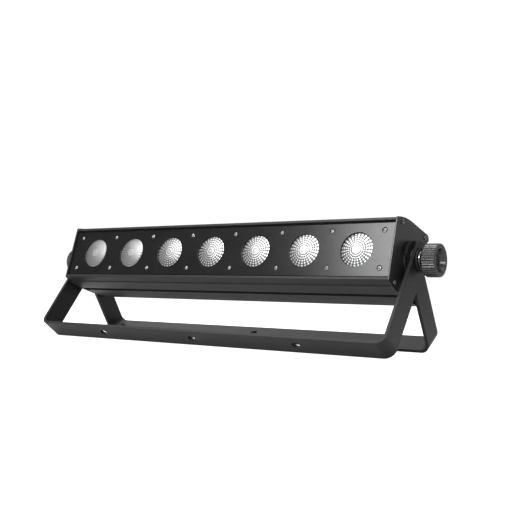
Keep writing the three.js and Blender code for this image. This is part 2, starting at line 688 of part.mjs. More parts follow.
piece(housing, "housing_extrusion", "extrusion", housingExtrusion());
piece(housing, "front_panel", "panel", frontPanel());
piece(housing, "led_board", "board", ledBoard());
piece(housing, "power_supply", "can", powerSupply());
piece(housing, "driver_board", "green", driverBoard());
piece(housing, "control_plate", "panel", controlPlate());
piece(housing, "display_window", "display", displayWindow());
for (const place of buttonPlaces()) {
  piece(housing, place.name, "rubber", pushButton(place));
}
for (const socket of SOCKETS) {
  piece(housing, socket.name, "plastic", panelSocket(socket));
}
lensCentres().forEach((x, i) => {
  piece(housing, `lens_${i + 1}`, "lens", lens()).position.x = x;
});
for (const { name, x, up } of panelScrewPlaces()) {
  const seat = -PANEL_FACE + COUNTERBORE.depth - GAP;
  piece(housing, name, "screw", crossScrew(PANEL_SCREW)).position.set(x, seat, up);
}
for (const [sideName, side] of Object.entries(SIDES)) {
  piece(housing, `end_plate_${sideName}`, "paint", endPlate(side));
  for (const { name, ahead, up } of PLATE_SCREWS) {
    const screw = piece(housing, `plate_screw_${sideName}_${name}`, "screw", crossScrew(PLATE_SCREW));
    screw.rotation.z = (side * Math.PI) / 2;
    screw.position.set(side * (PLATE_OUTER + GAP), -ahead, up);
  }
  piece(pivot, `fibre_washer_${sideName}`, "plastic", facing(side, fibreWasher()));
  piece(pivot, `outer_washer_${sideName}`, "plastic", facing(side, outerWasher()));
  piece(pivot, `steel_washer_${sideName}`, "steel", facing(side, steelWasher()));
  piece(pivot, `pivot_bolt_${sideName}`, "steel", facing(side, pivotBolt()));
  piece(pivot, `knob_${sideName}`, "plastic", facing(side, knob()));
}
piece(pivot, "front_bracket", "paint", bracket(FRONT)).rotation.x = -FRONT.lean;
piece(pivot, "rear_bracket", "paint", bracket(REAR)).rotation.x = REAR.lean;

export default batten;
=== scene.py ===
"""LED strip batten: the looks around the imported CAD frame.

Places are in the row frame, in metres: +X along the batten, +Z up, the lenses look towards -Y. Each piece
is drawn in millimetres in its own axes and then put in its place, which is worked out from the frame.
"""
import json
import math

import bmesh
import bpy
from mathutils import Matrix, Vector


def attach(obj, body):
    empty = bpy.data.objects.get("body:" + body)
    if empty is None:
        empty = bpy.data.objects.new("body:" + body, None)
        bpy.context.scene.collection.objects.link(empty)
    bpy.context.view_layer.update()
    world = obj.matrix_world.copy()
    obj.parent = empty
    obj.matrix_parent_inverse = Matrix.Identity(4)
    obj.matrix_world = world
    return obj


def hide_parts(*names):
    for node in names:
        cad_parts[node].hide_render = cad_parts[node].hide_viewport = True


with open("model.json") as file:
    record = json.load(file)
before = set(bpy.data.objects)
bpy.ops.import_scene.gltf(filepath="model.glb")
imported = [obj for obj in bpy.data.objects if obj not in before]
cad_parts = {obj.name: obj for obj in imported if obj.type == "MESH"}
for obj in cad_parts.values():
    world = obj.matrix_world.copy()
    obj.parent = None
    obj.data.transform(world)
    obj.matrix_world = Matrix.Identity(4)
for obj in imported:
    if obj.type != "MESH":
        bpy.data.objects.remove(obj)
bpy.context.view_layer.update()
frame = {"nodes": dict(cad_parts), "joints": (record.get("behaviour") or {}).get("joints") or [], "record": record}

MM = 0.001
SIDES = {"left": -1, "right": 1}
NODES = frame["nodes"]
JOINTS = {joint["name"]: joint for joint in frame["joints"]}

# ---- axes ----------------------------------------------------------------------------------------

PIVOT = Vector(JOINTS["front_bracket_swing"]["pos_m"])
ALONG = Vector((1, 0, 0))
AHEAD = Vector(JOINTS["menu_button_press"]["axis"])  # the way the lenses look
UP = AHEAD.cross(ALONG)
HIGH = Vector((0, 0, 1))


def axes(x_axis, y_axis, z_axis, origin=PIVOT):
    """A matrix that takes a piece's own axes to these, with its origin there."""
    turn = Matrix((x_axis, y_axis, z_axis)).transposed().to_4x4()
    return Matrix.Translation(origin) @ turn


FRONT = axes(ALONG, UP, AHEAD)  # local Z is out of the lens panel
BACK = axes(-ALONG, UP, -AHEAD)  # local Z is out of the back
# Local Z is out of the end plate in END, with Y up the plate, and in STACK, with Y straight up.
END = {name: axes(-AHEAD * side, UP, ALONG * side) for name, side in SIDES.items()}
STACK = {name: axes(Vector((0, side, 0)), HIGH, ALONG * side) for name, side in SIDES.items()}


def shifted(place, x=0.0, y=0.0, z=0.0):
    """The same axes with the origin moved by millimetres along them."""
    return place @ Matrix.Translation(Vector((x, y, z)) * MM)


def extent(node, place):
    """A CAD node's lowest and highest corner in other axes, in millimetres."""
    inverse = place.inverted()
    points = [inverse @ vertex.co / MM for vertex in NODES[node].data.vertices]
    low = Vector([min(values) for values in zip(*points)])
    high = Vector([max(values) for values in zip(*points)])
    return low, high


def seat(node, place):
    """Where a CAD node sits in other axes, in millimetres: its middle (x, y), its lowest and highest z."""
    low, high = extent(node, place)
    return (low.x + high.x) / 2, (low.y + high.y) / 2, low.z, high.z


# ---- mesh building -------------------------------------------------------------------------------

CORNER_STEPS = 6  # flats in each round corner of an outline
EDGE_SEGMENTS = 2
SHARPEST_SMOOTH = math.radians(32)  # edges that turn by less than this stay as they are


def turned(bm, profile, segments, x=0.0, y=0.0):
    """A body of revolution about local Z. The profile lists (radius, height), and it ends on the axis
    at both ends or comes back to its first point."""
    closed = profile[0] == profile[-1]
    angles = [2 * math.pi * i / segments for i in range(segments)]
    rings = []
    for radius, height in profile[:-1] if closed else profile:
        if radius == 0:
            rings.append([bm.verts.new((x, y, height))] * segments)
            continue
        places = [(x + radius * math.cos(a), y + radius * math.sin(a), height) for a in angles]
        rings.append([bm.verts.new(place) for place in places])
    pairs = list(zip(rings, rings[1:]))
    if closed:
        pairs.append((rings[-1], rings[0]))
    for low, high in pairs:
        for i in range(segments):
            j = (i + 1) % segments
            corners = list(dict.fromkeys((low[i], low[j], high[j], high[i])))
            if len(corners) > 2:
                bm.faces.new(corners)


def cylinder(radius, low, high):
    """The profile of a plain cylinder, for turned()."""
    return [(0, low), (radius, low), (radius, high), (0, high)]


def block(bm, low, high):
    """A box between two corners."""
    size = Vector(high) - Vector(low)
    centre = (Vector(high) + Vector(low)) / 2
    place = Matrix.Translation(centre) @ Matrix.Diagonal((*size, 1))
    bmesh.ops.create_cube(bm, size=1, matrix=place)


def prism(bm, outline, z0, z1):
    """A closed outline of (x, y) points, made solid between two heights."""
    low = [bm.verts.new((x, y, z0)) for x, y in outline]
    high = [bm.verts.new((x, y, z1)) for x, y in outline]
    bm.faces.new(low[::-1])
    bm.faces.new(high)
    for i in range(len(outline)):
        j = (i + 1) % len(outline)
        bm.faces.new((low[i], low[j], high[j], high[i]))


def rounded_rectangle(half_width, half_height, radius):
    """Outline points of a rectangle with round corners."""
    points = []
    for quarter, (sx, sy) in enumerate(((1, 1), (-1, 1), (-1, -1), (1, -1))):
        for i in range(CORNER_STEPS + 1):
            angle = math.pi / 2 * (quarter + i / CORNER_STEPS)
            points.append((
                sx * (half_width - radius) + radius * math.cos(angle),
                sy * (half_height - radius) + radius * math.sin(angle),
            ))
    return points


def object_from(bm, name):
    """The bmesh in millimetres as a smooth-shaded object in metres."""
    bmesh.ops.recalc_face_normals(bm, faces=bm.faces)
    bm.transform(Matrix.Scale(MM, 4))
    for face in bm.faces:
        face.smooth = True
    mesh = bpy.data.meshes.new(name)
    bm.to_mesh(mesh)
    bm.free()
    obj = bpy.data.objects.new(name, mesh)
    bpy.context.scene.collection.objects.link(obj)
    return obj


def carved(body, cutter, name):
    """A new mesh: one object minus another. Both are used up."""
    cut = body.modifiers.new("cut", "BOOLEAN")
    cut.operation = "DIFFERENCE"
    cut.solver = "EXACT"
    cut.object = cutter
    depsgraph = bpy.context.evaluated_depsgraph_get()
    mesh = bpy.data.meshes.new_from_object(body.evaluated_get(depsgraph))
    mesh.name = name
    for obj in (body, cutter):
        bpy.data.objects.remove(obj)
    mesh.shade_smooth()
    return mesh


def round_edges(obj, width):
    """Rounds an object's sharp edges by some millimetres and shades its flats flat."""
    bevel = obj.modifiers.new("edges", "BEVEL")
    bevel.width = width * MM
    bevel.segments = EDGE_SEGMENTS
    bevel.limit_method = "ANGLE"
    bevel.angle_limit = SHARPEST_SMOOTH
    bevel.use_clamp_overlap = True
    normals = obj.modifiers.new("normals", "WEIGHTED_NORMAL")
    normals.keep_sharp = False


def fitted(mesh_or_obj, name, place, body, look, replaces=(), edge=0.0):
    """Puts a finished piece in its place, on its body, in its material. A mesh may serve many pieces."""
    obj = mesh_or_obj
    if isinstance(mesh_or_obj, bpy.types.Mesh):
        obj = bpy.data.objects.new(name, mesh_or_obj)
        bpy.context.scene.collection.objects.link(obj)
    obj.name = name
    obj.matrix_world = place
    if not obj.data.materials:
        obj.data.materials.append(look)
    if edge:
        round_edges(obj, edge)
    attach(obj, body)
    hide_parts(*replaces)
    return obj


# ---- materials -----------------------------------------------------------------------------------

MIX_FACTOR, MIX_A, MIX_B = 0, 2, 3  # a Mix node's inputs for numbers
MIX_COLOR_A, MIX_COLOR_B = 6, 7  # and for colours


class Look:
    """A material whose nodes are added one by one."""

    def __init__(self, name):
        self.material = bpy.data.materials.new(name)
        self.material.use_nodes = True
        self.tree = self.material.node_tree
        self.tree.nodes.clear()
        self.shader = self.node("ShaderNodeBsdfPrincipled")
        output = self.node("ShaderNodeOutputMaterial")
        self.join(self.shader, "BSDF", output, "Surface")
        self.coordinates = self.node("ShaderNodeTexCoord")

    def node(self, kind, **settings):
        made = self.tree.nodes.new(kind)
        for key, value in settings.items():
            setattr(made, key, value)
        return made

    def join(self, source, output, target, entry):
        self.tree.links.new(source.outputs[output], target.inputs[entry])

    def noise(self, size, detail=3.0, stretch=(1, 1, 1)):
        """Noise whose features are about this many millimetres across."""
        mapping = self.node("ShaderNodeMapping")
        mapping.inputs["Scale"].default_value = [1 / (size * MM * factor) for factor in stretch]
        self.join(self.coordinates, "Object", mapping, "Vector")
        noise = self.node("ShaderNodeTexNoise")
        noise.inputs["Scale"].default_value = 1.0
        noise.inputs["Detail"].default_value = detail
        self.join(mapping, "Vector", noise, "Vector")
        return noise

    def ranged(self, source, output, low, high, from_low=0.3, from_high=0.7):
        """The source's value spread between two values."""
        spread = self.node("ShaderNodeMapRange")
        spread.inputs["From Min"].default_value = from_low
        spread.inputs["From Max"].default_value = from_high
        spread.inputs["To Min"].default_value = low
        spread.inputs["To Max"].default_value = high
        self.join(source, output, spread, "Value")
        return spread

    def blended(self, factor, output, first, second):
        """A colour between two, by the factor."""
        mix = self.node("ShaderNodeMix", data_type="RGBA")
        self.join(factor, output, mix, "Factor")
        mix.inputs[MIX_COLOR_A].default_value = (*first, 1)
        mix.inputs[MIX_COLOR_B].default_value = (*second, 1)
        return mix

    def color(self, source, output="Result"):
        self.join(source, output, self.shader, "Base Color")

    def roughness(self, source):
        self.join(source, "Result", self.shader, "Roughness")

    def bumps(self, *layers):
        """Each layer is (texture, output, depth in millimetres)."""
        below = None
        for texture, output, depth in layers:
            bump = self.node("ShaderNodeBump")
            bump.inputs["Distance"].default_value = depth * MM
            self.join(texture, output, bump, "Height")
            if below:
                self.join(below, "Normal", bump, "Normal")
            below = bump
        self.join(below, "Normal", self.shader, "Normal")

    def set(self, **values):
        for key, value in values.items():
            self.shader.inputs[key.replace("_", " ")].default_value = value


def toned(color, factor):
    """A colour made darker or lighter."""
    return tuple(channel * factor for channel in color)


def coated_metal(name, color, roughness, grain, relief, stretch=(1, 1, 1), specular=0.38):
    """Black coat on metal: fine grain, cloudy colour, handled spots that are a little smoother. The grain's
    size and relief are in millimetres."""
    look = Look(name)
    fine = look.noise(grain, detail=4, stretch=stretch)
    clouds = look.noise(size=38, detail=5, stretch=stretch)
    handled = look.noise(size=9, detail=6)
    tint = look.ranged(clouds, "Fac", low=0, high=1)
    look.color(look.blended(tint, "Result", toned(color, 0.8), toned(color, 1.25)))
    look.roughness(look.ranged(handled, "Fac", low=roughness * 0.97, high=roughness * 1.05))
    look.bumps((fine, "Fac", relief))
    look.set(Specular_IOR_Level=specular)
    return look.material


def moulded_plastic(name, color, roughness, specular=0.5, relief=0.02):
    """Moulded black plastic with a fine spark-eroded texture."""
    look = Look(name)
    fine = look.noise(size=0.35, detail=2)
    flow = look.noise(size=14, detail=4)
    tint = look.ranged(flow, "Fac", low=0, high=1)
    look.color(look.blended(tint, "Result", toned(color, 0.85), toned(color, 1.2)))
    look.roughness(look.ranged(flow, "Fac", low=roughness - 0.05, high=roughness + 0.06))
    look.bumps((fine, "Fac", relief))
    look.set(Specular_IOR_Level=specular)
    return look.material


TURNING_PITCH = 0.22  # about how many millimetres apart the turning marks are


def turned_steel(name, color, roughness):
    """Plated steel with fine turning marks round local Z and a few dull patches."""
    look = Look(name)
    split = look.node("ShaderNodeSeparateXYZ")
    look.join(look.coordinates, "Object", split, "Vector")
    flat = look.node("ShaderNodeCombineXYZ")
    look.join(split, "X", flat, "X")
    look.join(split, "Y", flat, "Y")
    radius = look.node("ShaderNodeVectorMath", operation="LENGTH")
    look.join(flat, "Vector", radius, 0)
    marks = look.node("ShaderNodeTexNoise", noise_dimensions="1D")
    marks.inputs["Scale"].default_value = 1 / (TURNING_PITCH * MM)
    marks.inputs["Detail"].default_value = 2
    look.join(radius, "Value", marks, "W")
    patches = look.noise(size=3, detail=5)
    tint = look.ranged(patches, "Fac", low=0, high=1)
    look.color(look.blended(tint, "Result", toned(color, 0.82), color))
    look.roughness(look.ranged(patches, "Fac", low=roughness - 0.06, high=roughness + 0.1))
    look.bumps((marks, "Fac", 0.012), (patches, "Fac", 0.01))
    look.set(Metallic=1.0)
    return look.material


CELL_COLOR = (1.0, 1.0, 0.99)
# The grey of the lens's valleys is painted shade, standing in for where the clear lens shows dark.
PAINTED_VALLEY_SHADE = (0.085, 0.088, 0.088)


def lens_clear(name):
    """Clear moulded lens over a bright mirror-like cone, drawn opaque: silvery cells, with grey painted shade in
    the valleys between them where the clear lens shows dark. The mesh's crest says how far up its cell each point
    is, and the lower it is, the more painted shade it gets."""
    look = Look(name)
    crest = look.node("ShaderNodeAttribute", attribute_name="crest")
    ripple = look.noise(size=1.3, detail=3)
    # Low crests, in the valleys between the cells, are painted with shade.
    height = look.ranged(crest, "Fac", low=0, high=1, from_low=0.4, from_high=0.85)
    look.color(look.blended(height, "Result", PAINTED_VALLEY_SHADE, CELL_COLOR))
    look.roughness(look.ranged(ripple, "Fac", low=0.28, high=0.3))
    look.bumps((ripple, "Fac", 0.02))
    look.set(Metallic=0.75, Specular_IOR_Level=0.6)
    return look.material


TRACK_SCALE = 90  # gives a grid of about 5.6 by 2.8 mm


def solder_mask(name, color, copper):
    """A board's mask with the tracks showing through it."""
    look = Look(name)
    tracks = look.node("ShaderNodeTexBrick")
    tracks.inputs["Scale"].default_value = TRACK_SCALE
    tracks.inputs["Mortar Size"].default_value = 0.05
    tracks.inputs["Color1"].default_value = (*color, 1)
    tracks.inputs["Color2"].default_value = (*toned(color, 0.85), 1)
    tracks.inputs["Mortar"].default_value = (*copper, 1)
    look.join(look.coordinates, "Object", tracks, "Vector")
    dust = look.noise(size=2, detail=4)
    look.color(tracks, "Color")
    look.roughness(look.ranged(dust, "Fac", low=0.35, high=0.5))
    look.bumps((tracks, "Fac", 0.03))
    return look.material


DISPLAY_CELL_SCALE = 160  # gives cells of about 3.1 by 1.6 mm


def smoked_window(name):
    """A dark clear window with a faint grid of display cells behind it."""
    look = Look(name)
    cells = look.node("ShaderNodeTexBrick")
    cells.offset = 0
    cells.inputs["Scale"].default_value = DISPLAY_CELL_SCALE
    cells.inputs["Mortar Size"].default_value = 0.12
    cells.inputs["Color1"].default_value = (0.012, 0.014, 0.013, 1)
    cells.inputs["Color2"].default_value = (0.016, 0.019, 0.017, 1)
    cells.inputs["Mortar"].default_value = (0.005, 0.005, 0.005, 1)
    look.join(look.coordinates, "Object", cells, "Vector")
    smears = look.noise(size=11, detail=5)
    look.color(cells, "Color")
    look.roughness(look.ranged(smears, "Fac", low=0.05, high=0.16))
    look.bumps((smears, "Fac", 0.02))
    look.set(Coat_Weight=0.6, Coat_Roughness=0.03)
    return look.material


LOOKS = {
    "black_extrusion": coated_metal(
        "extrusion_coat", (0.015, 0.015, 0.016), roughness=0.46, grain=0.5, relief=0.012, stretch=(24, 1, 1),
    ),
    "black_panel": coated_metal(
        "panel_coat", (0.009, 0.009, 0.0095), roughness=0.21, grain=0.5, relief=0.0008,
    ),
    "end_plate": coated_metal(
        "end_plate_coat", (0.02, 0.02, 0.021), roughness=0.3, grain=0.5, relief=0.004, specular=0.46,
    ),
    "black_paint": coated_metal(
        "bracket_coat", (0.009, 0.009, 0.0095), roughness=0.4, grain=0.45, relief=0.01, specular=0.32,
    ),
    "black_plastic": moulded_plastic("black_plastic_skin", (0.03, 0.03, 0.031), roughness=0.26, relief=0.005),
    "button_rubber": moulded_plastic("rubber_skin", (0.035, 0.035, 0.036), roughness=0.62, specular=0.3),
    "fibre_washer": moulded_plastic("fibre_skin", (0.07, 0.07, 0.071), roughness=0.4),
    "outer_washer": moulded_plastic("washer_skin", (0.012, 0.012, 0.012), roughness=0.6, specular=0.25),
    "screw_steel": turned_steel("screw_plating", (0.46, 0.45, 0.44), roughness=0.24),
    "plate_screw": turned_steel("plate_screw_plating", (0.22, 0.215, 0.21), roughness=0.28),
    "bright_steel": turned_steel("washer_steel", (0.26, 0.26, 0.27), roughness=0.2),
    "lens": lens_clear("lens_moulding"),
    "display": smoked_window("display_glass"),
    "led_board": solder_mask("led_board_mask", color=(0.8, 0.8, 0.78), copper=(0.62, 0.5, 0.36)),
    "circuit_board": solder_mask("driver_board_mask", color=(0.02, 0.13, 0.05), copper=(0.05, 0.2, 0.08)),
    "supply_can": turned_steel("supply_sheet", (0.6, 0.61, 0.62), roughness=0.36),
}

# ---- lenses --------------------------------------------------------------------------------------

LENS_NODES = [f"lens_{number}" for number in range(1, 8)]
LENS_RINGS = 5
LENS_SECTORS = 26
CELL_STEPS = 4  # mesh steps across each cell
CELL_HEIGHT = 0.3
CELL_FULLNESS = 0.7  # below 1, a cell is flatter on top and steeper at its edges
LENS_CENTRE_RADIUS = 6.3
# The smooth round centre: (share of its radius, crest); the crest also sets how much painted shade a ring gets.
LENS_CENTRE = ((0.2, 0.78), (0.35, 0.6), (0.45, 0.45), (0.6, 0.85), (0.8, 0.8), (0.92, 0.5))
MIDDLE_CREST = 0.8
LENS_EDGE_RADIUS = 21.0
DOME_RADIUS = 78.0
RIM_RADIUS = 22.3
RIM_THICKNESS = 1.6
CONE_RADIUS = 19.4
LAMP_END_RADIUS = 8
# The lens behind its face: (radius, height), round the rim and down the cone to the lamp.
LENS_BACK = (
    (RIM_RADIUS, 0),
    (RIM_RADIUS, -RIM_THICKNESS),
    (CONE_RADIUS, -RIM_THICKNESS),
    (CONE_RADIUS * 0.78, -11),
    (LAMP_END_RADIUS, -21),
    (LAMP_END_RADIUS, -24.4),
)


def dome_height(radius):
    """Height of the lens's shallow dome above its edge."""
    rise = math.sqrt(DOME_RADIUS ** 2 - radius ** 2)
    return rise - math.sqrt(DOME_RADIUS ** 2 - LENS_EDGE_RADIUS ** 2)


def cell_crest(step_in, step_round):
    """How far up its pillow cell a point is, from 0 at the cell's edge to 1 at its middle."""
    across = math.sin(math.pi * (step_in % CELL_STEPS) / CELL_STEPS)
    around = math.sin(math.pi * (step_round % CELL_STEPS) / CELL_STEPS)
    return (across * around) ** CELL_FULLNESS


def lens_face_rings():
    """The front of the lens as (radius, crests round the ring) from its middle to its edge."""
    around = LENS_SECTORS * CELL_STEPS
    steps = LENS_RINGS * CELL_STEPS
    rings = [(LENS_CENTRE_RADIUS * share, [crest] * around) for share, crest in LENS_CENTRE]
    for step in range(steps + 1):
        radius = LENS_CENTRE_RADIUS + (LENS_EDGE_RADIUS - LENS_CENTRE_RADIUS) * step / steps
        rings.append((radius, [cell_crest(step, i) for i in range(around)]))
    return rings


def lens_mesh():
    """A domed lens with pillow cells in front of its cone. Local Z is out, and its rim's face is at 0."""
    bm = bmesh.new()
    # Each point keeps its crest, which the lens material turns into painted shade in the valleys.
    crest_layer = bm.verts.layers.float.new("crest")
    around = LENS_SECTORS * CELL_STEPS
    angles = [2 * math.pi * i / around for i in range(around)]
    rings = []

    def add_ring(radius, height, crests):
        ring = []
        for angle, crest in zip(angles, crests):
            place = (radius * math.cos(angle), radius * math.sin(angle), height + CELL_HEIGHT * crest)
            vertex = bm.verts.new(place)
            vertex[crest_layer] = crest
            ring.append(vertex)
        rings.append(ring)

    for radius, crests in lens_face_rings():
        add_ring(radius, dome_height(radius), crests)
    for radius, height in LENS_BACK:
        add_ring(radius, height, [0.0] * around)
    middle = bm.verts.new((0, 0, dome_height(0) + CELL_HEIGHT * MIDDLE_CREST))
    middle[crest_layer] = MIDDLE_CREST
    for low, high in zip(rings, rings[1:]):
        for i in range(around):
            j = (i + 1) % around
            bm.faces.new((low[i], low[j], high[j], high[i]))
    for i in range(around):
        bm.faces.new((middle, rings[0][i], rings[0][(i + 1) % around]))
    bm.faces.new(rings[-1])
    for edge in bm.edges:
        start, end = edge.verts
        edge.smooth = start[crest_layer] > 0 or end[crest_layer] > 0
    obj = object_from(bm, "lens_shape")
    mesh = obj.data
    bpy.data.objects.remove(obj)
    return mesh


def lenses():
    mesh = lens_mesh()
    for node in LENS_NODES:
        x, y, _, face = seat(node, FRONT)
        fitted(mesh, f"moulded_{node}", shifted(FRONT, x, y, face), "housing", LOOKS["lens"], [node])


# ---- front panel and its screws ------------------------------------------------------------------

WINDOW_RADIUS = 21.0
SCREW_HOLE_RADIUS = 1.6
SINK_RADIUS = 3.3
SINK_DEPTH = 1.15
SINK_FLARE = 0.02  # how much wider the sink's wall is above the sheet
BELOW_SHEET, ABOVE_SHEET = -1, 4  # heights that the cuts in a thin sheet run between
PANEL_SCREWS = [f"panel_screw_{row}_{i}" for row in ("top", "bottom") for i in range(1, 9)]
PLATE_SCREW_CORNERS = ("front_top", "front_bottom", "rear_top", "rear_bottom")
PANEL_SCREW = {"head": 2.55, "height": 1.5, "shank": 1.25, "length": 6.4}
PLATE_SCREW = {"head": 2.9, "height": 1.7, "shank": 1.6, "length": 11.9}
HEAD_SIDE = 0.3  # share of a screw head's height below its dome
DOME_ANGLES = (0.0, 0.35, 0.7, 1.0, 1.3)
RECESS_DEPTH = 1.0


def front_panel():
    low, high = extent("front_panel", FRONT)
    thickness = high.z - low.z
    sheet = bmesh.new()
    block(sheet, (low.x, low.y, 0), (high.x, high.y, thickness))
    body = object_from(sheet, "panel_blank")
    cuts = bmesh.new()
    window = cylinder(WINDOW_RADIUS, BELOW_SHEET, ABOVE_SHEET)
    for node in LENS_NODES:
        turned(cuts, window, segments=96, x=seat(node, FRONT)[0])
    floor = thickness - SINK_DEPTH
    sink = [
        (0, BELOW_SHEET),
        (SCREW_HOLE_RADIUS, BELOW_SHEET),
        (SCREW_HOLE_RADIUS, floor),
        (SINK_RADIUS, floor),
        (SINK_RADIUS + SINK_FLARE, ABOVE_SHEET),
        (0, ABOVE_SHEET),
    ]
    for node in PANEL_SCREWS:
        x, y, _, _ = seat(node, FRONT)
        turned(cuts, sink, segments=40, x=x, y=y)
    mesh = carved(body, object_from(cuts, "panel_cuts"), "panel_sheet")
    place = shifted(FRONT, z=low.z)
    coat = LOOKS["black_panel"]
    fitted(mesh, "panel_sheet", place, "housing", coat, ["front_panel"], edge=0.22)


def cross_screw_mesh(name, head, height, shank, length):
    """A pan-head screw with a cross recess. Local Z is out of the head, whose underside is at 0."""
    bm = bmesh.new()
    dome = []
    for angle in DOME_ANGLES:
        share = HEAD_SIDE + (1 - HEAD_SIDE) * math.sin(angle)
        dome.append((head * math.cos(angle), height * share))
    turned(bm, [(0, -length), (shank, -length), (shank, 0), (head, 0), *dome, (0, height)], segments=40)
    body = object_from(bm, name)
    recess = bmesh.new()
    arm, slot = head * 0.72, head * 0.2
    cross = []
    for turn in range(4):
        quarter = Matrix.Rotation(turn * math.pi / 2, 2)
        cross += [quarter @ Vector(corner) for corner in ((arm, -slot), (arm, slot), (slot, slot))]
    prism(recess, cross, height - RECESS_DEPTH, height + 1)
    return carved(body, object_from(recess, "recess"), name)


def driven_home(mesh, height, node, place, look):
    """Puts a screw with a head of this height where the CAD's screw is, with the tops of both level."""
    x, y, _, top = seat(node, place)
    seated = shifted(place, x, y, top - height)
    fitted(mesh, f"{node}_head", seated, "housing", look, [node])


def screws():
    panel_screw = cross_screw_mesh("panel_screw", **PANEL_SCREW)
    for node in PANEL_SCREWS:
        driven_home(panel_screw, PANEL_SCREW["height"], node, FRONT, LOOKS["screw_steel"])
    plate_screw = cross_screw_mesh("plate_screw", **PLATE_SCREW)
    for side in SIDES:
        for corner in PLATE_SCREW_CORNERS:
            node = f"plate_screw_{side}_{corner}"
            driven_home(plate_screw, PLATE_SCREW["height"], node, END[side], LOOKS["plate_screw"])


# ---- pivot stack ---------------------------------------------------------------------------------

KNOB_RIBS = 40
KNOB_RADIUS = 19.5
RIB_DEPTH = 1.0
RIB_STEPS = 6
COLLAR_LENGTH = 4.0  # the plain collar behind the ribs
COLLAR_RADIUS = 10.5
BOWL_RADIUS = 14.2
BOWL_DEPTH = 6.6
KNOB_BORE_RADIUS = 3.9
KNOB_BORE_FLOOR = -8.9  # from the grip's face
KNOB_PROUD = 1.0  # how far the grip's face stands past the CAD body
BOLT_RADIUS = 3.95
BOLT_HEAD_RADIUS = 7.2  # out to the hexagon's corners
BOLT_HEAD_HEIGHT = 3
BOLT_BELOW_FACE = 8.6  # from the knob's face down to the bolt's head
WASHER_BORE_RADIUS = 4.35


def knob_mesh(length):
    """A ribbed grip with a bowl in its end face. Local Z is out of that face, which is at 0."""
    bm = bmesh.new()
    around = KNOB_RIBS * RIB_STEPS
    back = -length
    grip_back = back + COLLAR_LENGTH
    profile = [  # (radius, share of the rib depth, height)
        (KNOB_BORE_RADIUS, 0, KNOB_BORE_FLOOR),
        (KNOB_BORE_RADIUS, 0, back),
        (COLLAR_RADIUS - 0.3, 0, back),
        (COLLAR_RADIUS, 0, back + 0.3),
        (COLLAR_RADIUS, 0, grip_back),
        (KNOB_RADIUS - 1.6, 0, grip_back),
        (KNOB_RADIUS - 0.7, 0.5, grip_back + 0.3),
        (KNOB_RADIUS, 1, grip_back + 1.1),
        (KNOB_RADIUS, 1, -1.7),
        (KNOB_RADIUS - 0.6, 0.9, -0.1),
        (KNOB_RADIUS - 1.9, 0, 0),
        (BOWL_RADIUS + 0.5, 0, 0),
        (BOWL_RADIUS, 0, -0.3),
        (BOWL_RADIUS - 2.3, 0, -BOWL_DEPTH + 0.5),
        (BOWL_RADIUS - 2.9, 0, -BOWL_DEPTH),
        (1.5, 0, -BOWL_DEPTH),
    ]
    rows = []
    for radius, share, height in profile:
        row = []
        for i in range(around):
            angle = 2 * math.pi * i / around
            wave = 0.5 - 0.5 * math.cos(2 * math.pi * i / RIB_STEPS)
            r = radius - share * RIB_DEPTH * wave ** 1.3
            row.append(bm.verts.new((r * math.cos(angle), r * math.sin(angle), height)))
        rows.append(row)
    for low, high in zip(rows, rows[1:]):
        for i in range(around):
            j = (i + 1) % around
            bm.faces.new((low[i], low[j], high[j], high[i]))
    bm.faces.new(rows[0][::-1])
    bm.faces.new(rows[-1])
    return object_from(bm, "knob_shape")


def clamp_knob(side, place, body):
    """Makes the grip and returns the height of its face."""
    _, _, back, cad_face = seat(body, place)
    face = cad_face + KNOB_PROUD
    grip = knob_mesh(face - back)
    seated = shifted(place, z=face)
    plastic = LOOKS["black_plastic"]
    fitted(grip, f"clamp_knob_{side}", seated, body, plastic, [body], edge=0.15)
    return face


def hex_bolt(side, place, body, face):
    """The pivot bolt. Its head is inside the knob, behind the floor of the bowl."""
    name = f"hex_bolt_{side}"
    node = f"pivot_bolt_{side}"
    start = seat(node, place)[2]
    head = face - BOLT_BELOW_FACE
    shank = [
        (0, start),
        (BOLT_RADIUS - 0.55, start),
        (BOLT_RADIUS, start + 0.6),
        (BOLT_RADIUS, head - BOLT_HEAD_HEIGHT + 0.2),
        (0, head - BOLT_HEAD_HEIGHT + 0.2),
    ]
    hexagon = [
        (0, head - BOLT_HEAD_HEIGHT),
        (BOLT_HEAD_RADIUS - 0.6, head - BOLT_HEAD_HEIGHT),
        (BOLT_HEAD_RADIUS, head - BOLT_HEAD_HEIGHT + 0.5),
        (BOLT_HEAD_RADIUS, head - 0.5),
        (0, head),
    ]
    bolt = bmesh.new()
    turned(bolt, shank, segments=40)
    turned(bolt, hexagon, segments=6)
    steel = LOOKS["bright_steel"]
    fitted(object_from(bolt, name), name, place, body, steel, [node], edge=0.25)


def washers(side, place, body):
    """The fibre and outer washers stay with the housing, and the steel one turns with the knob."""
    rings = (
        ("fibre_washer", "housing", "black_plastic", "fibre_washer", 0.2),
        ("outer_washer", "housing", "black_plastic", "outer_washer", 0.35),
        ("steel_washer", body, "bright_steel", "bright_steel", 0.3),
    )
    for kind, rides_on, slot, look, edge in rings:
        node = f"{kind}_{side}"
        low, high = extent(node, place)
        outer = (high.x - low.x) / 2
        bore = WASHER_BORE_RADIUS
        section = [(bore, low.z), (outer, low.z), (outer, high.z), (bore, high.z), (bore, low.z)]
        bm = bmesh.new()
        turned(bm, section, segments=72)
        made = object_from(bm, f"{node}_ring")
        fitted(made, f"{node}_ring", place, rides_on, LOOKS[look], [node], edge=edge)


def pivot_stack(side):
    """Everything on the pivot axis at one end."""
    place = STACK[side]
    body = f"knob_{side}"
    face = clamp_knob(side, place, body)
    hex_bolt(side, place, body, face)
    washers(side, place, body)


# ---- controls and sockets ------------------------------------------------------------------------

